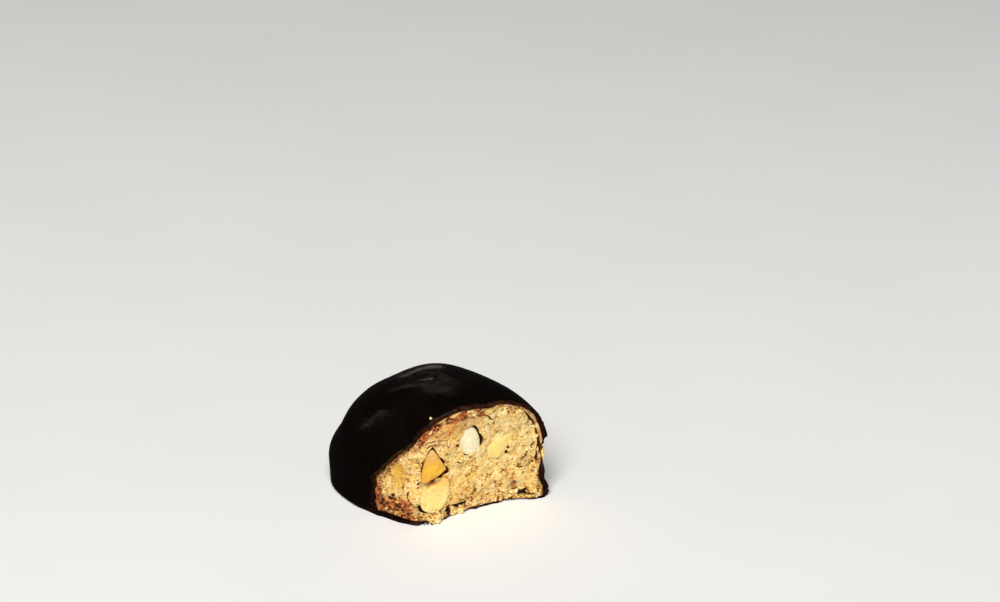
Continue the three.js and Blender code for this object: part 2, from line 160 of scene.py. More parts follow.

# ---- The chopped almonds that show ----
# outline: its corners, along and up the break. gaps: where a dark gap of painted shade parts it from
# the crumb, as the direction in degrees anticlockwise from the right, how far round, and the share of
# GAP_WIDTH. softness: higher for sharper corners. depth, proud: how far its back lies behind the
# break and its front stands out. lap: how far the crumb laps over its edge. colours: of its
# heart, its rind and its upper end. grainy: how much crumb sticks to it.
ALMONDS = {
    "almond_upper": dict(
        outline=[(10.3, 19.9), (12.4, 19.3), (13.8, 16.8), (13.8, 14.2), (11.9, 13.3), (10, 14.4), (9.1, 17)],
        gaps=[(5, 42, 1.0), (68, 26, 0.9), (192, 10, 0.8), (252, 14, 0.7)],
        softness=7, depth=4.2, proud=0.35, lap=0.3, slot="almond_white",
        colours=[(255, 244, 208), (246, 224, 174), (253, 238, 196)],
        material="peeled_almond", grainy=0.3,
    ),
    "almond_sliver": dict(
        outline=[
            (18.6, 16.4), (21.1, 17.4), (21.3, 15.9), (19.9, 13.2), (18.2, 11.3), (15.9, 11.9), (15.6, 13.9),
        ],
        gaps=[(325, 12, 0.7)],
        softness=7, depth=3.6, proud=0.22, lap=0.45, slot="almond_yellow",
        colours=[(254, 224, 132), (251, 216, 134), (254, 226, 146)],
        material="pale_cut_almond", grainy=0.25,
    ),
    "almond_wedge": dict(
        outline=[(2.5, 15.9), (3.7, 16.4), (5.3, 14.1), (7, 10.9), (4.3, 10.1), (1.5, 8.4), (1.2, 11.2)],
        gaps=[(38, 30, 0.9), (98, 26, 1.0), (168, 26, 0.8), (325, 17, 2.8), (300, 16, 2.2), (266, 16, 1.3)],
        softness=14, depth=3.4, proud=0.2, lap=0.12, slot="almond_golden",
        colours=[(250, 192, 60), (234, 172, 72), (236, 188, 116)],
        material="golden_cut_almond", grainy=0.45,
    ),
    "almond_lower": dict(
        outline=[
            (1.7, 7.3), (4.2, 8.5), (6.9, 9.4), (7.3, 7), (6.9, 4.6), (5.6, 2.9), (3.5, 2.4), (1.5, 3.5),
            (0.9, 5.4),
        ],
        gaps=[(226, 30, 1.1), (355, 10, 0.5)],
        softness=15, depth=4.2, proud=0.1, lap=0.85, slot="almond_yellow",
        colours=[(255, 228, 140), (253, 224, 148), (250, 204, 104)],
        material="cream_cut_almond", grainy=0.4,
    ),
    "almond_flank": dict(
        outline=[(-5.9, 12.4), (-4.4, 14), (-2.8, 13.4), (-2.5, 9.7), (-3.4, 7.6), (-5.8, 7.6)],
        gaps=[(200, 6, 0.4)],
        softness=6, depth=2.4, proud=0, lap=0.8, slot="almond_olive",
        colours=[(218, 160, 44), (240, 192, 98), (208, 156, 50)],
        material="grainy_almond", grainy=1.3,
    ),
}
FULLNESS = 0.35  # how much a soft outline is swelled, over its softness
FRONT_POWER = 2.6
GAP_WIDTH = 0.38
GAP_DEPTH = 1.1
GAP_SHADE = 1.4  # how far the painted shade of a gap reaches, over its width
GAP_NEAR = 3  # how far off the almond's plane it can be
LAP_TONGUES = [(0.9, 5.6, 1.1), (0.4, 1.7, 0.8)]  # the lap's own edge, ragged

# ---- Hairline cracks: arcs in the break, as centre, radius and the angles between their ends ----
HAIRLINES = [
    (11.9, 18.0, 4.55, 16, 82), (-12.7, 6.7, 19.9, -8, 8), (3.4, 15.2, 2.1, 60, 165),
    (3.5, 15.6, 2.7, 75, 130), (24.2, 14.0, 6.1, 250, 290), (1.0, 7.2, 3.1, 190, 262),
    (9.2, 12.0, 3.0, 150, 200),
]
HAIRLINE_WIDTH = 0.17

# ---- Chocolate smeared over the crumb ----
SMEAR_BLOTCHES = [(1.3, 4.7, 1.0), (0.5, 0.9, 0.6)]
# Spots here and below: middle along and up the break, reach each way, and strength.
LONE_SMEARS = [(21.7, 4.5, 0.8, 1.1, 1), (-3.4, 8.6, 0.8, 0.8, 1), (3.4, 9.0, 1.8, 0.6, 1)]
TOASTED = [(6.5, 20.4, 4.2, 2.3, 1), (-4.3, 11, 2.2, 3.6, 0.7)]  # warmer and oilier

# ---- Holes where crumb fell out: along, up, half width and half height ----
HOLES = [
    (7.4, 2.0, 0.6, 0.6), (9.1, 2.4, 0.5, 0.35), (10.6, 2.3, 0.9, 0.3), (21.5, 1.9, 0.5, 0.25),
    (23.6, 2.2, 1.0, 0.4), (25.3, 1.4, 0.6, 0.3), (8.7, 16.3, 0.4, 0.25), (9.7, 12.2, 0.6, 0.3),
    (11.8, 12.9, 0.5, 0.2), (20.0, 12.2, 0.4, 0.5), (0.6, 9.0, 0.25, 0.3), (0.6, 8.1, 0.2, 0.25),
    (-5.6, 4.6, 0.8, 0.3), (27.6, 10.8, 0.4, 1.0),
]
HOLE_DEPTH = 0.9
RAGGED_HOLES = [(0.5, 4.9, 0.35), (0.25, 8.3, 0.2)]

# ---- Loose crumbs and chips of chocolate ----
# Clusters: middle along and up the break, reach each way, how many, size, how far proud.
CRUMB_CLUSTERS = [
    (20.8, 12.8, 0.7, 0.9, 14, 0.24, 0.1), (22.2, 9.8, 0.6, 1.3, 10, 0.2, 0.1),
    (10.2, 12.9, 1.5, 0.7, 24, 0.26, 0.15), (9.2, 11.6, 0.9, 0.7, 10, 0.2, 0.1),
    (2.6, 20.4, 1.6, 0.4, 8, 0.22, 0.15), (28.1, 10.0, 0.35, 2.2, 16, 0.26, 0.1),
    (24.9, 17.4, 1.0, 1.2, 10, 0.2, 0.1), (-1.5, 13.8, 2.0, 1.2, 10, 0.2, 0.1),
    (4.4, 0.9, 2.2, 0.8, 30, 0.34, 0.05), (9.8, 0.7, 2.4, 0.6, 34, 0.34, 0.15),
    (15.5, 1.6, 3.0, 0.8, 20, 0.28, 0.05), (21.5, 2.2, 3.4, 1.0, 30, 0.32, 0.05),
    (26.1, 1.8, 1.2, 1.2, 16, 0.32, 0.05),
]
CHIP_CLUSTERS = [
    (7.6, 1.7, 0.5, 0.6, 6, 0.34, -0.2), (9.3, 2.3, 0.7, 0.3, 5, 0.3, -0.1),
    (10.9, 2.1, 0.7, 0.3, 5, 0.3, -0.1), (23.4, 2.0, 1.1, 0.4, 9, 0.3, -0.1),
    (3.0, 0.3, 2.0, 0.2, 5, 0.2, 0.4), (27.2, 12.2, 0.2, 0.6, 5, 0.26, 0.0),
    (27.3, 5.6, 0.3, 1.0, 5, 0.26, 0.0), (-5.5, 5.4, 2.2, 1.4, 12, 0.2, 0.05),
]
CRUMB_ON_COAT = (-10.25, -4.95, 23.85)  # one crumb that lies on the chocolate
CRUMB_ON_COAT_SIZE = 0.36
BIT_RINGS = 5
BIT_SECTORS = 9
BIT_LUMPS = [(0.8, 0, 0.4), (0.4, 0, 0.18)]


def ease(value, low, high):
    """A smooth step: 0 below low, 1 above high, and 3t^2 - 2t^3 between."""
    t = np.clip((value - low) / (high - low), 0, 1)
    return t * t * (3 - 2 * t)


def fade(value, low, high):
    """1 below low and 0 above high: what the smooth step leaves of 1."""
    return 1 - ease(value, low, high)


def lerp(a, b, t):
    """a when t is 0, b when it is 1, and in proportion between."""
    return a + (b - a) * t


def bump(value, middle, reach):
    """A bell: 1 at the middle, falling as e to the minus square of the distance over reach."""
    return np.exp(-(((value - middle) / reach) ** 2))


def join(*parts):
    """Arrays one after another, as one."""
    return np.concatenate(parts)


def unit(vectors):
    """The vectors, each made 1 long."""
    return vectors / np.linalg.norm(vectors, axis=-1, keepdims=True)


def super_ellipse(angle, power):
    """A point of |x|^power + |y|^power = 1 in the direction of the angle."""
    c, s = np.cos(angle), np.sin(angle)
    r = (np.abs(c) ** power + np.abs(s) ** power) ** (-1 / power)
    return c * r, s * r


def lattice_value(i, j, k):
    """A scattered number from 0 to 1 for each lattice corner: the fraction of a large sine."""
    n = np.sin(i * 127.1 + j * 311.7 + k * 74.7) * 43758.5453
    return n - np.floor(n)


def noise(x, y, z):
    """Smooth noise from -1 to 1: lattice values blended by a smooth step between corners."""
    x, y, z = np.broadcast_arrays(np.asarray(x, float), np.asarray(y, float), np.asarray(z, float))
    cells = [np.floor(v) for v in (x, y, z)]
    blends = [(v - c) ** 2 * (3 - 2 * (v - c)) for v, c in zip((x, y, z), cells)]
    total = 0
    for corner in range(8):
        steps = [corner & 1, (corner >> 1) & 1, (corner >> 2) & 1]
        weight = 1
        for step, blend in zip(steps, blends):
            weight = weight * (blend if step else 1 - blend)
        total = total + weight * lattice_value(*[c + step for c, step in zip(cells, steps)])
    return 2 * total - 1


def noise_at(points, spacing, offset=0.0):
    """Smooth noise at points whose bumps lie about one spacing apart."""
    p = points / spacing + offset
    return noise(p[..., 0], p[..., 1], p[..., 2])


def layered(points, layers):
    """The sum of smooth noises, each given by its spacing, its offset and its height."""
    return sum(height * noise_at(points, spacing, offset) for spacing, offset, height in layers)


def grains_at(points, spacing, offset):
    """Cells round one scattered seed to each lattice cube. Gives the distance to the nearest
    seed, how much farther the second nearest is, both in spacings, and a number of the cell."""
    p = points / spacing + offset
    home = np.floor(p)
    nearest = np.full(len(p), 9.0)
    second = np.full(len(p), 9.0)
    tone = np.zeros(len(p))
    for corner in range(27):
        cell = home + np.array([corner % 3, corner // 3 % 3, corner // 9]) - 1
        i, j, k = cell[:, 0], cell[:, 1], cell[:, 2]
        seed = cell + np.stack(
            [lattice_value(i, j, k), lattice_value(j, k + 17, i), lattice_value(k, i + 31, j)], -1
        )
        distance = np.linalg.norm(seed - p, axis=1)
        closer = distance < nearest
        second = np.where(closer, nearest, np.minimum(second, distance))
        tone = np.where(closer, lattice_value(i + 5, j, k), tone)
        nearest = np.where(closer, distance, nearest)
    return nearest, second - nearest, tone


# ---- The loaf ----
def loaf_point(latitude, longitude, inset):
    """The smooth loaf drawn in by an inset. Its length follows a superellipse of latitude, and
    its section a superellipse of longitude, squarer below the widest level than above it; width,
    dome and base shrink with powers of the reach of that latitude."""
    reach, along = super_ellipse(latitude, END_POWER)
    above = np.sin(longitude) > 0
    dome_across, dome_up = super_ellipse(longitude, DOME_POWER)
    base_across, base_up = super_ellipse(longitude, BASE_POWER)
    drawn_in = np.maximum(reach, 0)
    dome = (BAR_HEIGHT - inset - WIDEST_AT) * drawn_in**DOME_FALL * dome_up
    base = WIDEST_AT * drawn_in**BASE_FALL * base_up
    across = np.where(above, dome_across, base_across)
    x = (BAR_WIDTH / 2 - inset) * drawn_in**WIDTH_FALL * across
    y = (BAR_LENGTH / 2 - inset) * along + 0 * longitude
    return np.stack([x, y, WIDEST_AT + np.where(above, dome, base)], -1)


def outward_at(p):
    """Square to an ellipsoid of the bar's size round its widest level."""
    from_axis = np.stack([p[..., 0], p[..., 1], np.maximum(p[..., 2] - WIDEST_AT, 0)], -1)
    return unit(from_axis / np.array([BAR_WIDTH, BAR_LENGTH, 2 * BAR_HEIGHT]) ** 2)


def unevenness(p):
    """Broad noise and the bell-shaped swells, fading to nothing at the base."""
    total = LUMP_HEIGHT * noise_at(p, LUMP_SPACING, LUMP_OFFSET)
    for at, across, height in SWELLS:
        distance = np.linalg.norm(p - np.array(at, float), axis=-1)
        total = total + height * np.exp(-2 * (distance / across) ** 2)
    return total * ease(p[..., 2], 0, WIDEST_AT)


def bar_point(latitude, longitude, inset):
    """The loaf moved out by its unevenness, then pressed flat on the table."""
    outside = loaf_point(latitude, longitude, 0)
    p = loaf_point(latitude, longitude, inset) + outward_at(outside) * unevenness(outside)[..., None]
    p[..., 2] = np.maximum(p[..., 2] - PRESSED_FLAT, 0)
    return p


def coat_point(latitude, longitude):
    """The outside of the coat: the bar, and a patchy foot spread sideways along the table that
    falls off with the square of the height."""
    p = bar_point(latitude, longitude, 0)
    outward = unit(np.stack([p[..., 0], p[..., 1] / 2, 0 * p[..., 0]], -1))
    patchy = 0.5 + 0.5 * noise(p[..., 0] / 5, p[..., 1] / 5, 3.3)
    spread = FOOT_SPREAD * patchy * np.exp(-((p[..., 2] / FOOT_HEIGHT) ** 2))
    near_edge = ease(np.abs(p[..., 0]) / (BAR_WIDTH / 2), 0.6, 0.95)
    return p + outward * (spread * near_edge)[..., None]


def top_ridge(p):
    """A low ridge across the top: a bell of the distance from a line of straight stretches."""
    ridge_y = np.interp(p[..., 0], RIDGE_X, RIDGE_Y)
    ends = ease(p[..., 0], RIDGE_X[0] - 2, RIDGE_X[0] + 1)
    ends = ends * fade(p[..., 0], RIDGE_X[-1] - 2, RIDGE_X[-1] + 2)
    return RIDGE_HEIGHT * bump(p[..., 1], ridge_y, RIDGE_REACH) * ends * ease(p[..., 2], 20, 23)


def coat_relief(p):
    """Low waves and brush-like streaks left in the chocolate as it set, and the ridge."""
    across, lengthwise = STREAK_SPACING
    streaks = noise(p[..., 0] / across, p[..., 1] / lengthwise + 4.4, p[..., 2] / across)
    relief = layered(p, COAT_WAVES) + STREAK_HEIGHT * streaks
    return relief * ease(p[..., 2], 0.1, 2.0) + top_ridge(p)


def coat_thickness(longitude):
    """The thickness of the coat round the section: uneven, and least over the upper right."""
    wrapped = noise(1.6 * np.cos(longitude) + 3, 1.6 * np.sin(longitude) + 5, 0.4)
    from_thinnest = (longitude - THINNER_AT + pi) % TURN - pi
    return COAT_THICKNESS + UNEVEN_COAT * wrapped - THINNER * bump(from_thinnest, 0, THINNER_REACH)


def lining_point(latitude, longitude, gap=0):
    """The inside of the coat, or a point clear of it by a gap: no lower than the coat's
    underside, which thickens as a bell round one place."""
    p = bar_point(latitude, longitude, coat_thickness(longitude) + gap)
    away = np.hypot(p[..., 0] - THICK_FOOT_AT[0], p[..., 1] - THICK_FOOT_AT[1])
    underside = COAT_UNDERSIDE + THICK_FOOT * bump(away, 0, THICK_FOOT_REACH)
    p[..., 2] = np.maximum(p[..., 2], underside + gap)
    return p


def crumb_side_point(latitude, longitude):
    """The crumb's own outside, just within the coat."""
    return lining_point(latitude, longitude, CLEARANCE)


# ---- The break ----
face_direction = np.array([cos(FACE_HEADING), sin(FACE_HEADING)])
flank_direction = np.array([cos(FLANK_HEADING), sin(FLANK_HEADING)])
face_outward = np.array([face_direction[1], -face_direction[0]])
flank_outward = np.array([-flank_direction[1], flank_direction[0]])
BEND = sin(FLANK_HEADING - FACE_HEADING)  # of the angle at which they meet


def face_set_back(z):
    """A slight overhang less a parabola, by height."""
    return -FACE_OVERHANG * z - FACE_HOLLOW * ((z - HOLLOW_AT) / HOLLOW_AT) ** 2


def flank_set_back(z):
    """A shallow bell-shaped hollow, by height."""
    return FLANK_HOLLOW * bump(z, FLANK_HOLLOW_AT, FLANK_HOLLOW_REACH)


def crags(along, z):
    """Two sizes of noise, lower on the flank, less the strip that fell off the foot."""
    coarse = noise(along / CRAG_SPACING + 0.5, z / CRAG_SPACING + 7.7, 1.9)
    fine = noise(2.3 * along / CRAG_SPACING + 3.1, 2.3 * z / CRAG_SPACING, 6.4)
    stretch = ease(along, *CRUMBLED_FROM) * fade(along, *CRUMBLED_TO)
    fallen = CRUMBLED_AWAY * stretch * np.exp(-((z / CRUMBLED_HEIGHT) ** 2))
    height = CRAG_HEIGHT * lerp(FLANK_CRAGS, 1, ease(along, -5, 2))
    return height * (coarse + 0.5 * fine) - fallen


def break_coordinates(p):
    """The distance along the break and out of it: the distances out of the face and out of the
    flank, joined by a smooth maximum."""
    from_corner = p[..., :2] - CORNER
    face = from_corner @ face_outward + face_set_back(p[..., 2])
    flank = from_corner @ flank_outward + flank_set_back(p[..., 2])
    rounded = np.hypot(face - flank, CORNER_ROUNDING)
    return (face - flank) / BEND, (face + flank + rounded) / 2


def break_point(along, z, proud):
    """A point of the break moved out by an amount, and its outward direction: in plan the break
    is a branch of a hyperbola that follows the face and the flank."""
    bend = np.arcsinh(along * BEND / CORNER_ROUNDING)
    face = -CORNER_ROUNDING / 2 * np.exp(-bend)
    flank = -CORNER_ROUNDING / 2 * np.exp(bend)
    outward = unit(-flank[..., None] * face_outward - face[..., None] * flank_outward)
    plan = (
        CORNER
        + ((flank_set_back(z) - flank) / BEND)[..., None] * face_direction
        + ((face_set_back(z) - face) / BEND)[..., None] * flank_direction
        + outward * np.asarray(proud)[..., None]
    )
    flat = np.zeros_like(z)[..., None]
    return np.concatenate([plan, z[..., None]], -1), np.concatenate([outward, flat], -1)


def edge_latitude(surface, longitude, proud):
    """The latitude at which each line of longitude of a surface stands proud of the break by an
    amount, by repeated halving."""
    lost = np.full(longitude.shape, SEARCH_FROM)
    kept = np.full(longitude.shape, SEARCH_TO)
    for _ in range(HALVINGS):
        middle = (lost + kept) / 2
        p = surface(middle, longitude)
        along, outside = break_coordinates(p)
        beyond = outside > crags(along, p[..., 2]) + proud
        lost = np.where(beyond, middle, lost)
        kept = np.where(beyond, kept, middle)
    return kept


def rings_to_tip(surface, edge, longitude, rows):
    """Rings of a surface from its edge at even shares of the latitude, and the tip beyond."""
    share = np.linspace(0, 1, rows, endpoint=False)[:, None]
    rings = surface(lerp(edge, pi / 2, share), longitude[None])
    return rings, surface(np.array([pi / 2]), np.zeros(1))


# ---- Meshes ----
def add_object(name, data):
    """A new object of this data in the scene."""
    added = bpy.data.objects.new(name, data)
    bpy.context.scene.collection.objects.link(added)
    return added


def make_piece(name, points, quads, triangles, shades=None):
    """One object at the origin from points in millimetres, with a number on each vertex for
    each of its shades."""
    mesh = bpy.data.meshes.new(name)
    quads = np.asarray(quads, np.int32).reshape(-1, 4)
    triangles = np.asarray(triangles, np.int32).reshape(-1, 3)
    corners = join(quads.ravel(), triangles.ravel())
    starts = join(4 * np.arange(len(quads)), quads.size + 3 * np.arange(len(triangles)))
    mesh.vertices.add(len(points))
    mesh.vertices.foreach_set("co", ((points + SHIFT) * MM).astype(np.float32).ravel())
    mesh.loops.add(len(corners))
    mesh.loops.foreach_set("vertex_index", corners)
    mesh.polygons.add(len(starts))
    mesh.polygons.foreach_set("loop_start", starts.astype(np.int32))
    mesh.update(calc_edges=True)
    mesh.shade_smooth()
    for shade, values in (shades or {}).items():
        layer = mesh.attributes.new(shade, "FLOAT", "POINT")
        layer.data.foreach_set("value", np.asarray(values, np.float32).ravel())
    return add_object(name, mesh)


def band(first, rings, count):
    """Quads between rings of points, each ring numbered on from the one before."""
    ring, n = np.meshgrid(np.arange(rings - 1), np.arange(count), indexing="ij")
    a = (first + ring * count + n).ravel()
    b = (first + ring * count + (n + 1) % count).ravel()
    return np.stack([a, a + count, b + count, b], -1)


def fan(ring, count, tip):
    """Triangles from a ring of points to the one point that closes it."""
    n = np.arange(count)
    return np.stack([ring + n, np.full(count, tip), ring + (n + 1) % count], -1)


def turned(faces):
    """The same faces seen from the other side."""
    return faces[:, ::-1]


def ball_faces(rings, sectors):
    """The faces of a ball: a point, rings of points from it on, and a point that closes them."""
    last = rings * sectors + 1
    ends = [turned(fan(1, sectors, 0)), fan(last - sectors, sectors, last)]
    return band(1, rings, sectors), join(*ends)


# ---- The coat: outside, lining, and the broken edge between them ----
def make_coat():
    """Rings of constant share of the latitude from the break to the tip, outside and inside,
    joined by a strip across the broken edge that is roughened along the break's outward."""
    count = COAT_SECTORS
    longitude = -pi / 4 + TURN * np.arange(count) / count
    smooth = lining_point(edge_latitude(lining_point, longitude, 0), longitude)
    along, _ = break_coordinates(smooth)
    height = smooth[:, 2]
    calm = lerp(0.3, 1, ease(along, -5, 2))
    chips = calm * layered(smooth, CHIPPED_EDGE)
    ragged = RAGGED_EDGE * noise(longitude * RAGGED_TEETH, 2.5, 8.5) + chips
    bitten = ease(height, BITE_FROM - 0.5, BITE_FROM + 0.7) * ease(along, 24, 27)
    bitten = BITE * bitten * fade(height, BITE_TO - 1.2, BITE_TO + 0.6)
    inner_edge = edge_latitude(lining_point, longitude, ragged) + BITE_INSIDE * bitten
    outer_edge = inner_edge + calm * layered(smooth, OUTER_CHIPS) + BITE_BEYOND * bitten
    lip = np.interp(along, LIP_ALONG, LIP_OUT) + LIP_CHIPS * chips
    at_foot = ease(-np.sin(longitude), 0.2, 0.6)
    outer_edge = lerp(outer_edge, edge_latitude(coat_point, longitude, lip), at_foot)
    outside, tip = rings_to_tip(coat_point, outer_edge, longitude, COAT_ROWS)
    outside += outward_at(outside) * coat_relief(outside)[..., None]
    lining, lining_tip = rings_to_tip(lining_point, inner_edge, longitude, LINING_ROWS)
    across = np.linspace(0, 1, RIM_ROWS + 2)[1:-1, None, None]
    rim = lerp(outside[0], lining[0], across)
    rim_along, _ = break_coordinates(rim)
    _, rim_outward = break_point(rim_along, rim[..., 2], 0)
    snapped = layered(rim, SNAPPED_EDGE) * np.sin(pi * across[..., 0])
    rim = rim + rim_outward * snapped[..., None]
    lining_points = join(lining.reshape(-1, 3), lining_tip)
    points = join(outside.reshape(-1, 3), tip, lining_points, rim.reshape(-1, 3))

    inner = COAT_ROWS * count + 1
    first_rim = inner + LINING_ROWS * count + 1
    ring = np.arange(count)[None]
    rim_rings = np.arange(RIM_ROWS * count).reshape(RIM_ROWS, count)
    rows = join(ring, first_rim + rim_rings, inner + ring)
    next_sector = np.roll(rows, -1, axis=1)
    strip = np.stack([rows[:-1], next_sector[:-1], next_sector[1:], rows[1:]], -1).reshape(-1, 4)
    quads = join(band(0, COAT_ROWS, count), turned(band(inner, LINING_ROWS, count)), strip)
    lining_end = turned(fan(first_rim - 1 - count, count, first_rim - 1))
    triangles = join(fan(inner - 1 - count, count, inner - 1), lining_end)
    shaded = lerp(0.25, 1, ease(along, -2, 3)) * lerp(1, 0.3, ease(along, 21, 25))
    broken = np.zeros(len(points))
    broken[: 2 * count] = join(0.7 * shaded, 0.2 * shaded)
    broken[inner:first_rim] = 0.5
    broken[first_rim:] = np.tile(shaded, RIM_ROWS)
    return make_piece("coat_shell", points, quads, triangles, {"broken": broken})


# ---- The almonds ----
class AlmondShape:
    """The outline of an almond in the plane that touches the break at its middle."""

    def __init__(self, spec):
        corners = np.array(spec["outline"], float)
        self.softness = spec["softness"]
        along, z = (corners.max(0) + corners.min(0))[:, None] / 2
        self.middle, self.out = [v[0] for v in break_point(along, z, crags(along, z))]
        self.smooth_middle = break_point(along, z, 0)[0][0]
        self.up = np.array([0.0, 0.0, 1.0])
        self.side = np.cross(self.up, self.out)
        offset = break_point(*corners.T, 0)[0] - self.smooth_middle
        self.corners = np.stack([offset @ self.side, offset @ self.up], -1)

    def reach(self, around):
        """How far the outline is in each direction: the soft minimum of its distances to the
        straight sides, which are its cut sides."""
        direction = np.stack([np.cos(around), np.sin(around)], -1)
        total = 0
        for corner, following in zip(self.corners, np.roll(self.corners, -1, axis=0)):
            side = following - corner
            turning = direction[..., 0] * side[1] - direction[..., 1] * side[0]
            area = corner[0] * following[1] - corner[1] * following[0]
            total = total + np.maximum(turning / area, 0) ** self.softness
        return (1 + FULLNESS / self.softness) * total ** (-1 / self.softness)


def make_almond(name, spec):
    """Rings from the front to the back: the outline shrinks as a superellipse of the polar
    angle, low in front and deep behind, with a little noise on the front that shows."""
    shape = AlmondShape(spec)
    coarse_relief = (1.5, 4.1, 0.1 + 0.08 * spec["grainy"])
    fine_relief = (0.45, 9.3, 0.02 + 0.1 * spec["grainy"])
    polar = np.linspace(0, pi, ALMOND_RINGS + 1)[1:-1, None]
    around = TURN * np.arange(ALMOND_SECTORS)[None] / ALMOND_SECTORS
    height, breadth = super_ellipse(polar, FRONT_POWER)
    rise = np.where(height > 0, spec["proud"], spec["depth"])
    ring = shape.reach(around) * breadth
    body = (
        shape.middle
        + (np.cos(around) * ring)[..., None] * shape.side
        + (np.sin(around) * ring)[..., None] * shape.up
        + (height * rise + 0 * around)[..., None] * shape.out
    )
    relief = layered(body, [coarse_relief, fine_relief]) * ease(height, -0.2, 0.4)
    body = body + shape.out * relief[..., None]
    front = shape.middle[None] + spec["proud"] * shape.out
    front = front + shape.out * layered(front, [coarse_relief])[..., None]
    back = shape.middle[None] - spec["depth"] * shape.out
    points = join(front, body.reshape(-1, 3), back)
    edge = np.where(height > 0, breadth, 1.0) + 0 * around
    edge = join([0], edge.ravel(), [1])
    upward = join([0], (np.sin(around) * ring).ravel() / shape.corners[:, 1].max(), [0])
    faces = ball_faces(ALMOND_RINGS - 1, ALMOND_SECTORS)
    return make_piece(name, points, *faces, {"edge": edge, "upward": upward})


# ---- The crumb ----
def disc_point(column, row):
    """A corner of the square grid carried to a disc, so that the square's edge runs evenly
    round it: the larger of its two coordinates is the radius."""
    a = 2 * column / CAP_CELLS - 1
    b = 2 * row / CAP_CELLS - 1
    eighth = TURN / 8
    steep = np.sign(b) * 2 * eighth - eighth * a / np.where(b == 0, 1, b)
    level = eighth * b / np.where(a == 0, 1, a) + np.where(a < 0, 4 * eighth, 0)
    return np.maximum(np.abs(a), np.abs(b)), np.where(np.abs(a) < np.abs(b), steep, level)


def looseness(points, along, z, radius):
    """How crumbly the break is, from 0 to 1: most at the foot, by the rim and on the left."""
    loose = 0.9 * bump(z, 0, 3.6) + 0.5 * ease(radius, 0.84, 1)
    loose = loose + 0.15 * fade(along, 3, 9) + 0.35 * noise_at(points, 4.3, 8.8)
    return np.clip(loose, 0, 1)


def hairlines(points, along, z):
    """1 on the hairline cracks and 0 off them, their ends and widths uneven."""
    wander = 0.16 * noise_at(points, 1.0, 6.6)
    broken = ease(noise_at(points, 0.7, 3.4), -0.45, 0.1)
    lines = np.zeros(len(points))
    for across, up, radius, start, end in HAIRLINES:
        x, y = along - across, z - up
        angle = np.degrees(np.arctan2(y, x))
        middle, half = (start + end) / 2, (end - start) / 2
        away = np.abs((angle - middle + 180) % 360 - 180)
        off_line = np.abs(np.hypot(x, y) - radius + wander)
        line = fade(off_line, 0.3 * HAIRLINE_WIDTH, HAIRLINE_WIDTH) * (away < half)
        lines = np.maximum(lines, line * broken)
    return lines


def hollowed(points, along, z):
    """1 in the holes and 0 outside them: rounded boxes with a ragged edge."""
    ragged = layered(points, RAGGED_HOLES)
    holes = np.zeros(len(points))
    for at, up, half_width, half_height in HOLES:
        away = np.abs((along - at) / half_width) ** 3 + np.abs((z - up) / half_height) ** 3
        holes = np.maximum(holes, fade(np.cbrt(away) + ragged, 0.85, 1.15))
    return holes


def round_almond(points, spec):
    """1 in an almond's socket and in the gaps beside it, which are bells of the direction, and how
    dark their painted shade is. Elsewhere the crumb laps over its edge with ragged tongues."""
    shape = AlmondShape(spec)
    offset = points - shape.smooth_middle
    x, y = offset @ shape.side, offset @ shape.up
    around = np.arctan2(y, x)
    beside = np.hypot(x, y) - shape.reach(around)
    parted = np.zeros(len(points))
    for towards, spread, width in spec["gaps"]:
        away = (np.degrees(around) - towards + 180) % 360 - 180
        parted = np.maximum(parted, width * bump(away, 0, spread))
    parted = np.maximum(parted * (0.85 + 0.35 * noise_at(points, 0.8, 2.6)), 0)
    lapped = spec["lap"] * np.maximum(0.7 + layered(points, LAP_TONGUES), 0)
    width = GAP_WIDTH * parted - lapped * fade(parted, 0, 0.7)
    near_plane = np.abs(offset @ shape.out) < GAP_NEAR
    inside = fade(beside, width - 0.05, width + 0.05) * near_plane
    # The painted shade reaches GAP_SHADE times the gap's width out, over the socket's wall and lip.
    dark = fade(beside, GAP_SHADE * width, GAP_SHADE * width + 0.2) * near_plane
    return inside, dark * ease(parted, 0.15, 0.5)


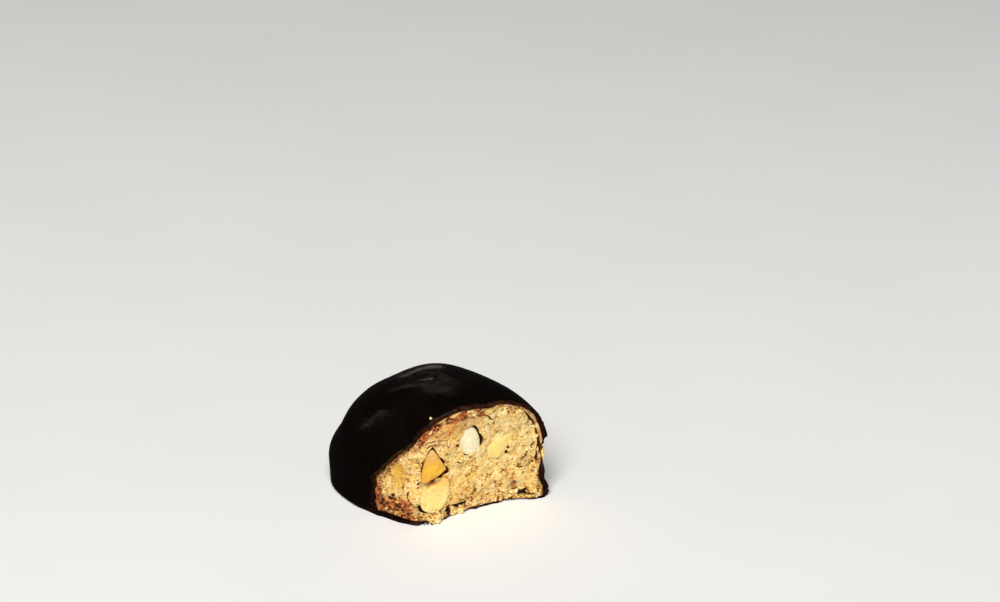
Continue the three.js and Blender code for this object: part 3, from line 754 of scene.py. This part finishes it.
def crumb_relief(points, along, z, radius):
    """Grains of three sizes as rounded caps with creases between them, cracks along some of the
    creases, hairlines, scattered pits and holes, and the open cracks round the almonds. Gives
    the height and the shades that go with it: painted shade in the creases, cracks, pits, holes
    and gaps, and a tone that is partly painted light, paler on grain tops and towards the upper right."""
    loose = looseness(points, along, z, radius)
    height = layered(points, CRUMB_WAVES)
    fine = layered(points, CRUMB_GRIT)
    tone = 0.3 * fine
    # This mask carries the depth of the cracks and also painted shade into the creases, cracks, pits, holes
    # and gaps.
    crack = np.zeros(len(points))
    for n, (spacing, rise, contrast, crease_width) in enumerate(GRAINS):
        near, beyond, number = grains_at(points, spacing, 11.3 * n + 2.7)
        cap = 1 - np.minimum((near / CAP_REACH) ** 2, 1.4)
        height += rise * (cap - 0.35) * (0.45 + number) * lerp(*LOOSE_RISE, loose)
        # The cap term makes grain tops paler and the hollows between them darker: painted light and shade on
        # top of the grains' own scattered tone.
        tone += (number - 0.5) * contrast + 0.12 * (cap - 0.4)
        patch = noise_at(points, spacing * 1.3, 5.0 + n) + 0.5 * loose
        crack = np.maximum(crack, fade(beyond, 0.0, crease_width) * ease(patch, 0.55, 0.85))
    crack = np.maximum(crack, hairlines(points, along, z))
    right_rim = ease(along, 21.5, 24) * ease(z, 7, 9)
    off_rim = np.abs(radius - PARTING_AT + 0.012 * noise_at(points, 1.6, 7.1))
    parting = fade(off_rim, *PARTING_WIDTH) * right_rim
    crack = np.maximum(crack, parting * ease(noise_at(points, 1.1, 4.2), -0.5, 0))
    height -= CRACK_DEPTH * crack
    pit = ease(layered(points, PITS) + LOOSE_PITS * loose, PITS_FROM, PITS_TO)
    height -= PIT_DEPTH * pit
    # Painted shade in the pits.
    crack = np.maximum(crack, PIT_SHADE * pit)
    height += GRIT_HEIGHT * fine
    holes = hollowed(points, along, z)
    height = lerp(height, -HOLE_DEPTH, holes)
    # Painted shade fills the holes.
    crack = np.maximum(crack, holes)
    for spec in ALMONDS.values():
        inside, dark = round_almond(points, spec)
        height = lerp(height, -GAP_DEPTH, inside)
        # Painted shade in the gaps round the almonds, reaching past their walls.
        crack = np.maximum(crack, dark)
    # Paler towards the upper right: painted light.
    tone += 0.1 * ease(along, 6, 16) * ease(z, 6, 14)
    return height, {"tone": np.clip(0.5 + tone, 0, 1), "crack": crack}


def spots(along, z, places):
    """The sum of the spots, each a bell along the break times a bell up it."""
    return sum(
        strength * bump(along, at, wide) * bump(z, up, tall) for at, up, wide, tall, strength in places
    )


def stained(points, along, z, radius):
    """How much chocolate was smeared over the crumb, from 0 to 1: smooth steps along and up the
    break and towards its rim, blotched by noise, and the lone spots."""
    blotch = ease(layered(points, SMEAR_BLOTCHES), -0.8, 0.1)
    corner = fade(along, -2.5, 1.0) * fade(z, 4.2, 6.2)
    top_left = ease(along, -2, 1) * fade(along, 12, 14.5)
    rim_smear = ease(radius, 0.82, 0.91) * top_left * ease(z, 15, 18)
    whole_rim = 0.6 * ease(radius, 0.95, 0.985)
    flank_rim = 0.8 * ease(radius, 0.9, 0.97) * fade(along, -6.5, -4.5)
    lone = spots(along, z, LONE_SMEARS)
    amount = np.maximum.reduce([1.3 * corner, 1.35 * rim_smear, whole_rim, flank_rim])
    return np.clip(np.maximum(amount * blotch, 1.1 * lone), 0, 1)


def toasted(points, along, z):
    """The warmer patches, below the upper left rim and on the flank: spots swung by noise."""
    return np.clip(spots(along, z, TOASTED) * (0.8 + 0.5 * noise_at(points, 1.6, 2.0)), 0, 1)


def make_crumb():
    """Sides just within the coat, and a square grid carried to a disc over the break, moved out
    by the crags and the fine relief, which fades at the rim."""
    n = np.arange(CAP_CELLS)
    columns = join(0 * n + CAP_CELLS, CAP_CELLS - n, 0 * n, n)
    rows = np.roll(columns, CAP_CELLS)
    _, longitude = disc_point(columns, rows)
    count = len(longitude)
    edge = edge_latitude(crumb_side_point, longitude, 0)
    sides, tip = rings_to_tip(crumb_side_point, edge, longitude, CRUMB_ROWS)
    rim_along, _ = break_coordinates(sides[0])

    row, column = np.meshgrid(np.arange(1, CAP_CELLS), np.arange(1, CAP_CELLS), indexing="ij")
    radius, angle = disc_point(column.ravel(), row.ravel())
    along = lerp(BREAK_MIDDLE[0], np.interp(angle, longitude, rim_along, period=TURN), radius)
    z = lerp(BREAK_MIDDLE[1], np.interp(angle, longitude, sides[0, :, 2], period=TURN), radius)
    smooth, _ = break_point(along, z, 0)
    height, shades = crumb_relief(smooth, along, z, radius)
    inside_rim = ease(1 - radius, 0, 0.035)
    cap, _ = break_point(along, z, crags(along, z) + height * inside_rim)
    drawn_back = np.clip(-np.interp(along, LIP_ALONG, LIP_OUT) / 0.8, 0, 1)
    sagging = drawn_back * fade(cap[:, 2], 0.6, 2.2) * inside_rim
    cap[:, 2] = np.maximum(cap[:, 2] - COAT_UNDERSIDE * sagging, 0.05)

    shades["stain"] = stained(smooth, along, z, radius)
    shades["toast"] = toasted(smooth, along, z)
    points = join(sides.reshape(-1, 3), tip, cap)
    first_cap = sides[..., 0].size + 1
    numbers = np.zeros((CAP_CELLS + 1, CAP_CELLS + 1), np.int64)
    numbers[rows, columns] = np.arange(count)
    numbers[1:CAP_CELLS, 1:CAP_CELLS] = first_cap + np.arange(len(cap)).reshape(CAP_CELLS - 1, -1)
    grid = np.stack([numbers[:-1, :-1], numbers[:-1, 1:], numbers[1:, 1:], numbers[1:, :-1]], -1)
    quads = join(band(0, CRUMB_ROWS, count), grid.reshape(-1, 4))
    triangles = fan(first_cap - 1 - count, count, first_cap - 1)
    for name, values in shades.items():
        at_sides = np.full(first_cap, {"stain": 0.9, "tone": 0.5}.get(name, 0.0))
        shades[name] = join(at_sides, values)
    return make_piece("crumb_body", points, quads, triangles, shades)


# ---- Loose crumbs and chips ----
def place_clusters(clusters, random):
    """Scattered places and sizes for each cluster, in an ellipse on the break, closer together
    in its middle; small ones are commoner than large ones."""
    places, sizes = [], []
    for along, up, reach_along, reach_up, count, size, proud in clusters:
        away = random.random(count)
        towards = TURN * random.random(count)
        q = along + reach_along * away * np.cos(towards)
        z = np.maximum(up + reach_up * away * np.sin(towards), 0.1)
        outward = crags(q, z) + proud * random.uniform(0.2, 1, count)
        places.append(break_point(q, z, outward)[0])
        sizes.append(size * 2 ** random.uniform(-1.6, 0.7, count))
    return np.concatenate(places), np.concatenate(sizes)


def make_bits(name, places, sizes, random):
    """Lumps at the places: balls of rings and sectors whose radius swings with noise of the
    direction, stretched along random axes, and kept above the table."""
    count = len(places)
    polar = np.linspace(0, pi, BIT_RINGS + 2)[1:-1, None]
    around = TURN * np.arange(BIT_SECTORS)[None] / BIT_SECTORS
    level = np.cos(polar) + 0 * around
    ball = np.stack([np.sin(polar) * np.cos(around), np.sin(polar) * np.sin(around), level], -1)
    ball = join([[0, 0, 1]], ball.reshape(-1, 3), [[0, 0, -1]])
    seeds = 20 * random.random((count, 1, 3))
    lumps = 1 + layered(ball[None] + seeds, BIT_LUMPS)
    axes, _ = np.linalg.qr(random.normal(size=(count, 3, 3)))
    stretch = random.uniform([0.9, 0.65, 0.45], [1.35, 1.0, 0.8], (count, 3))
    bits = (ball[None] * lumps[..., None] * stretch[:, None]) @ np.swapaxes(axes, 1, 2)
    bits[np.linalg.det(axes) < 0] *= -1
    points = places[:, None] + bits * sizes[:, None, None]
    points[..., 2] = np.maximum(points[..., 2], 0.02)
    first = len(ball) * np.arange(count)[:, None, None]
    tones = random.uniform(0.35, 1, count)
    tones[np.argmax(places[:, 2])] = 1.2  # the one that lies highest is the palest
    tones = np.repeat(tones, len(ball))
    none = np.zeros(count * len(ball))
    shades = {"tone": tones, "crack": none, "stain": none, "toast": none, "broken": 0.8 * tones}
    faces = [first + one[None] for one in ball_faces(BIT_RINGS, BIT_SECTORS)]
    return make_piece(name, points.reshape(-1, 3), *faces, shades)


# ---- Materials ----
def feed(tree, sockets, values):
    """Give each socket its value, or join it to another node's output."""
    for key, value in values.items():
        if isinstance(value, bpy.types.NodeSocket):
            tree.links.new(value, sockets[key])
        else:
            sockets[key].default_value = value


def add_node(tree, kind, inputs=None, **settings):
    """A node with its settings and inputs."""
    node = tree.nodes.new(kind)
    for key, value in settings.items():
        setattr(node, key, value)
    feed(tree, node.inputs, inputs or {})
    return node


def colour_from(red, green, blue):
    """Screen colours from 0 to 255 as the linear colour that a material takes."""
    screen = np.array([red, green, blue]) / 255
    linear = np.where(screen <= 0.04045, screen / 12.92, ((screen + 0.055) / 1.055) ** 2.4)
    return (*linear, 1.0)


def mix_colour(tree, factor, first, second):
    """The first colour where the factor is 0 and the second where it is 1."""
    inputs = {0: factor, 6: first, 7: second}
    return add_node(tree, "ShaderNodeMix", inputs, data_type="RGBA").outputs[2]


def arithmetic(tree, operation, first, second=0.0, clamp=False):
    """One step of arithmetic on values or outputs."""
    inputs = {0: first, 1: second}
    return add_node(tree, "ShaderNodeMath", inputs, operation=operation, use_clamp=clamp).outputs[0]


def paint(tree, body, mask, share, colour):
    """A screen colour over the body where the mask is 1, at a share of full strength."""
    if share != 1:
        mask = arithmetic(tree, "MULTIPLY", mask, share)
    return mix_colour(tree, mask, body, colour_from(*colour))


def ramp(tree, factor, stops):
    """A value that follows stops of (place, value) joined by straight lines."""
    node = add_node(tree, "ShaderNodeFloatCurve", {"Value": factor})
    curve = node.mapping.curves[0]
    curve.points[0].location = stops[0]
    curve.points[1].location = stops[-1]
    for stop in stops[1:-1]:
        curve.points.new(*stop)
    for point in curve.points:
        point.handle_type = "VECTOR"
    node.mapping.update()
    return node.outputs[0]


def make_patches_group():
    """Patches: noise of a given size in millimetres, cut between two levels, as a mask."""
    tree = bpy.data.node_groups.new("Patches", "ShaderNodeTree")
    defaults = {"Vector": (0, 0, 0), "Size": 1.0, "Detail": 3.0, "Low": 0.4, "High": 0.6}
    for name, default in defaults.items():
        kind = "NodeSocketVector" if name == "Vector" else "NodeSocketFloat"
        socket = tree.interface.new_socket(name, in_out="INPUT", socket_type=kind)
        socket.default_value = default
    tree.interface.new_socket("Mask", in_out="OUTPUT", socket_type="NodeSocketFloat")
    given = tree.nodes.new("NodeGroupInput").outputs
    scale = arithmetic(tree, "DIVIDE", 1 / MM, given["Size"])
    inputs = {"Vector": given["Vector"], "Scale": scale, "Detail": given["Detail"]}
    pattern = add_node(tree, "ShaderNodeTexNoise", inputs).outputs["Fac"]
    inputs = {"Value": pattern, "From Min": given["Low"], "From Max": given["High"]}
    cut = add_node(tree, "ShaderNodeMapRange", inputs, interpolation_type="SMOOTHSTEP")
    result = tree.nodes.new("NodeGroupOutput")
    tree.links.new(cut.outputs["Result"], result.inputs["Mask"])
    return tree


PATCHES = make_patches_group()
POSITION = "position on the piece"


def patches(tree, size, low, high, detail=3.0):
    """A mask of patches of about the size in millimetres, between two levels of the noise."""
    position = tree.nodes[POSITION].outputs["Object"]
    inputs = {"Vector": position, "Size": size, "Low": low, "High": high, "Detail": detail}
    return add_node(tree, "ShaderNodeGroup", inputs, node_tree=PATCHES).outputs["Mask"]


def new_material(name):
    """A material, its tree and its shader, with the position on the piece."""
    material = bpy.data.materials.new(name)
    material.use_nodes = True
    tree = material.node_tree
    add_node(tree, "ShaderNodeTexCoord", name=POSITION)
    return material, tree, tree.nodes["Principled BSDF"]


def shade(tree, name):
    """The number that a piece's vertices carry under this name."""
    return add_node(tree, "ShaderNodeAttribute", attribute_name=name).outputs["Fac"]


def emboss(tree, shader, height, strength, depth):
    """Low relief on the shader's normal from a height of 0 to 1, its depth in millimetres."""
    inputs = {"Height": height, "Strength": strength, "Distance": depth * MM}
    relief = add_node(tree, "ShaderNodeBump", inputs)
    tree.links.new(relief.outputs["Normal"], shader.inputs["Normal"])


def make_chocolate():
    """Near-black brown with a satin skin: cloudy dull patches, low waves and fine pores, and a
    paler, rougher brown where the coat broke."""
    material, tree, shader = new_material("dark_chocolate")
    broken = shade(tree, "broken")
    cloudy = patches(tree, 7.0, 0.42, 0.66)
    mottled = patches(tree, 1.1, 0.35, 0.7)
    skin = paint(tree, colour_from(7, 4, 3), cloudy, 1, (11, 6, 4))
    skin = paint(tree, skin, mottled, 0.35, (15, 9, 6))
    snapped = paint(tree, colour_from(36, 15, 7), mottled, 1, (76, 38, 18))
    dull = ramp(tree, cloudy, [(0, 0.14), (1, 0.22)])
    dull = arithmetic(tree, "ADD", dull, arithmetic(tree, "MULTIPLY", mottled, 0.08))
    rough = arithmetic(tree, "ADD", dull, arithmetic(tree, "MULTIPLY", broken, 0.35), clamp=True)
    looks = {"Base Color": mix_colour(tree, broken, skin, snapped), "Roughness": rough}
    feed(tree, shader.inputs, looks | {"Specular IOR Level": 0.12})
    waves = patches(tree, 2.6, 0.2, 0.8, 4.0)
    pores = patches(tree, 0.35, 0.3, 0.75, 2.0)
    relief = arithmetic(tree, "ADD", waves, arithmetic(tree, "MULTIPLY", pores, 0.12))
    emboss(tree, shader, relief, 0.35, 0.08)
    return material


def make_crumb_material():
    """Dry tan crumb: paler and darker grains, partly painted light and shade, brown and near-black
    painted shade in the cracks, pits, holes and gaps, fine dark specks, a warmer toasted patch
    and reddish brown where chocolate was smeared."""
    material, tree, shader = new_material("shortbread_crumb")
    tone, crack = shade(tree, "tone"), shade(tree, "crack")
    stain, toast = shade(tree, "stain"), shade(tree, "toast")
    cloudy = patches(tree, 3.4, 0.35, 0.65)
    pinkish = patches(tree, 5.5, 0.5, 0.7)
    # low and high follow the tone, which is partly painted light and shade: paler grain tops and upper right,
    # darker hollows.
    low = ramp(tree, tone, [(0, 1), (0.45, 0)])
    high = ramp(tree, tone, [(0.5, 0), (1, 1)])
    flecks = patches(tree, 0.42, 0.59, 0.65, 1.0)
    # These two paint brown and near-black shade into the cracks, pits, holes and gaps round the almonds.
    cracked_shade = ramp(tree, crack, [(0, 0), (0.25, 0.5), (0.6, 1), (1, 1)])
    deep = ramp(tree, crack, [(0, 0), (0.45, 0), (0.95, 1)])
    body = colour_from(244, 201, 112)
    for mask, share, colour in (
        (cloudy, 1, (246, 205, 124)),
        (pinkish, 0.6, (246, 198, 128)),
        (high, 1, (255, 240, 182)),
        (low, 1, (198, 130, 26)),
        (toast, 0.8, (224, 146, 50)),
        (flecks, 0.5, (160, 98, 14)),
        (cracked_shade, 1, (158, 92, 20)),
        (deep, 1, (48, 20, 5)),
    ):
        body = paint(tree, body, mask, share, colour)
    clotted = patches(tree, 0.8, 0.4, 0.6)
    smear = paint(tree, colour_from(186, 86, 32), clotted, 1, (70, 20, 7))
    speckled = ramp(tree, patches(tree, 0.4, 0.3, 0.55), [(0, 0.55), (1, 1)])
    body = mix_colour(tree, arithmetic(tree, "MULTIPLY", stain, speckled), body, smear)
    feed(tree, shader.inputs, {"Base Color": body, "Roughness": 0.85, "Specular IOR Level": 0.25})
    emboss(tree, shader, patches(tree, 0.22, 0.25, 0.75), 0.6, 0.08)
    return material


def make_almond_material(spec):
    """Cut almond: one colour at the heart, another in cloudy patches and towards its edge, a
    third towards its upper end, and grains of crumb that stick to it, thickest at the edge."""
    material, tree, shader = new_material(spec["material"])
    heart, rind, tip = spec["colours"]
    edge, upward = shade(tree, "edge"), shade(tree, "upward")
    outer = ramp(tree, edge, [(0, 0), (0.7, 0.1), (0.92, 0.6), (1, 1)])
    upper_end = ramp(tree, upward, [(0, 0), (0.15, 0), (0.8, 1), (1, 1)])
    body = paint(tree, colour_from(*heart), patches(tree, 1.9, 0.38, 0.64), 0.7, rind)
    body = paint(tree, body, outer, 1, rind)
    body = paint(tree, body, upper_end, 1, tip)
    thickest = ramp(tree, edge, [(0, 0.35), (0.6, 0.5), (1, 1)])
    thickest = arithmetic(tree, "MULTIPLY", thickest, spec["grainy"])
    for size, colour in ((0.38, (190, 126, 30)), (0.6, rind)):
        grains = patches(tree, size, 0.54, 0.62, 2.0)
        body = paint(tree, body, arithmetic(tree, "MULTIPLY", grains, thickest), 1, colour)
    looks = {"Base Color": body, "Roughness": 0.55, "Specular IOR Level": 0.3}
    flesh = {"Subsurface Weight": 0.2, "Subsurface Scale": 1.0}
    flesh["Subsurface Radius"] = (0.9 * MM, 0.6 * MM, 0.35 * MM)
    feed(tree, shader.inputs, looks | flesh)
    emboss(tree, shader, patches(tree, 0.5, 0.25, 0.75), 0.6, 0.06)
    return material


chocolate = make_chocolate()
crumb_material = make_crumb_material()

coat = make_coat()
coat.data.materials.append(chocolate)
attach(coat, "root")
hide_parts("coat")

crumb = make_crumb()
crumb.data.materials.append(crumb_material)
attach(crumb, "root")
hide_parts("crumb")

for node_name, spec in ALMONDS.items():
    piece = make_almond(node_name + "_cut", spec)
    piece.data.materials.append(make_almond_material(spec))
    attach(piece, "root")
    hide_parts(node_name)

random = np.random.default_rng(7)
places, sizes = place_clusters(CRUMB_CLUSTERS, random)
places = join(places, [CRUMB_ON_COAT])
sizes = join(sizes, [CRUMB_ON_COAT_SIZE])
loose_crumbs = make_bits("loose_crumbs", places, sizes, random)
loose_crumbs.data.materials.append(crumb_material)
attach(loose_crumbs, "root")

places, sizes = place_clusters(CHIP_CLUSTERS, random)
chips = make_bits("chocolate_chips", places, sizes, random)
chips.data.materials.append(chocolate)
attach(chips, "root")

# ---- Table, light and camera ----
VIEW_TURN = radians(49)  # how far the camera stands round from facing the break squarely
VIEW_PITCH = radians(24.51)  # how far it looks down
LENS = 85.0
SENSOR = 36.0
PICTURE_WIDTH, PICTURE_HEIGHT = 1000, 602
CAMERA_DISTANCE = 463.0
AIM_POINT = np.array([CORNER[0], CORNER[1], 0.0]) + SHIFT
AIM_PIXEL = (412.7, 528.0)  # where that point is seen
TABLE_REACH = 3.0
WARM = (1.0, 0.87, 0.78)


def make_table():
    """A white table top far larger than the view."""
    corners = TABLE_REACH / MM * np.array([[-1, -1, 0], [1, -1, 0], [1, 1, 0], [-1, 1, 0]]) - SHIFT
    table = make_piece("table_top", corners, [0, 1, 2, 3], [])
    material, tree, shader = new_material("white_table")
    faint = patches(tree, 60.0, 0.3, 0.7)
    tint = mix_colour(tree, faint, (0.93, 0.93, 0.93, 1), (0.95, 0.95, 0.95, 1))
    feed(tree, shader.inputs, {"Base Color": tint, "Roughness": 0.9, "Specular IOR Level": 0.0})
    table.data.materials.append(material)
    table.visible_glossy = False


def make_camera():
    """A camera that looks along the view's heading and pitch, set back so that the foot of the
    break's corner falls on its pixel."""
    pixels = LENS / SENSOR * PICTURE_WIDTH
    right = Vector((cos(VIEW_TURN), -sin(VIEW_TURN), 0))
    level = Vector((sin(VIEW_TURN), cos(VIEW_TURN), 0))
    forward = level * cos(VIEW_PITCH) - Vector((0, 0, sin(VIEW_PITCH)))
    up = right.cross(forward)
    across = (AIM_PIXEL[0] - PICTURE_WIDTH / 2) / pixels
    down = (AIM_PIXEL[1] - PICTURE_HEIGHT / 2) / pixels
    sight = (forward + right * across - up * down).normalized()
    camera = add_object("camera", bpy.data.cameras.new("camera"))
    camera.data.lens = LENS
    camera.data.sensor_width = SENSOR
    camera.data.clip_start = 0.01
    camera.location = (Vector(AIM_POINT) - sight * CAMERA_DISTANCE) * MM
    camera.rotation_euler = Matrix((right, up, -forward)).transposed().to_euler()
    bpy.context.scene.camera = camera


def add_softbox(name, azimuth, elevation, distance, size, power, tint):
    """A rectangular area light that faces the object, its azimuth measured round from +X."""
    light = bpy.data.lights.new(name, "AREA")
    light.shape = "RECTANGLE"
    light.size, light.size_y = size
    light.energy = power
    light.color = tint
    turn, rise = radians(azimuth), radians(elevation)
    towards = Vector((cos(turn) * cos(rise), sin(turn) * cos(rise), sin(rise)))
    softbox = add_object(name, light)
    softbox.location = towards * distance
    softbox.rotation_euler = (-towards).to_track_quat("-Z", "Y").to_euler()


make_table()
make_camera()
for softbox in (
    ("key_softbox", 214, 50, 1.5, (0.8, 0.8), 27, (1.0, 0.99, 0.96)),
    ("back_softbox", 60, 33, 0.8, (0.42, 0.1), 0.075, WARM),
    ("low_strip", 47, 6, 0.8, (0.12, 0.07), 0.025, WARM),
    ("side_strip", 125, 13, 0.8, (0.05, 0.4), 0.12, WARM),
):
    add_softbox(*softbox)
world = bpy.data.worlds.new("soft_room")
world.use_nodes = True
room_light = {"Color": (1, 1, 1, 1), "Strength": 0.03}
feed(world.node_tree, world.node_tree.nodes["Background"].inputs, room_light)
bpy.context.scene.world = world
bpy.context.scene.view_settings.view_transform = "Standard"
